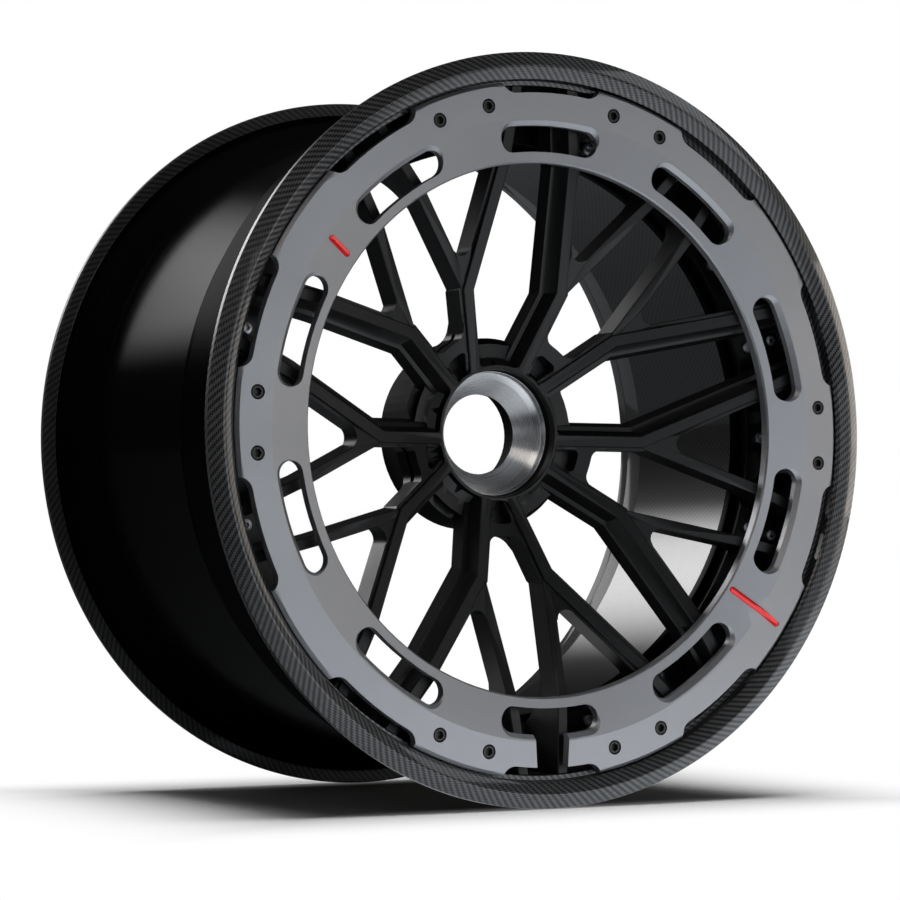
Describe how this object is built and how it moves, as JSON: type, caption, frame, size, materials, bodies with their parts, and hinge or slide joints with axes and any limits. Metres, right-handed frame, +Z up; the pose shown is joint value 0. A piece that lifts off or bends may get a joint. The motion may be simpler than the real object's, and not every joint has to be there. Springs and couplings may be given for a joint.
{
  "type": "forged car wheel",
  "caption": "Built-up car wheel: woven carbon barrel, forged centre with forked spokes, slotted face ring and a cone seat for a centre lock nut.",
  "frame": {"origin": "on the wheel axis, midway between the two lips", "axes": "+Y along the wheel axis towards the car, face of the wheel looking along -Y, +Z up"},
  "size_m": [0.5728, 0.3278, 0.5728],
  "materials": {
    "carbon": "woven carbon under clear lacquer",
    "forged_black": "satin black on forged aluminium",
    "ring_grey": "satin grey anodised",
    "seat_metal": "turned, bright",
    "black_steel": "black oxide",
    "bright_steel": "plain",
    "red_inlay": "gloss red"
  },
  "bodies": {
    "root": {"barrel": "carbon", "forged_centre": "forged_black", "face_ring": "ring_grey", "lock_seat": "seat_metal", "ring_screws": "black_steel", "flange_screws": "bright_steel", "red_bar_long": "red_inlay", "red_bar_short": "red_inlay"}
  },
  "joints": []
}
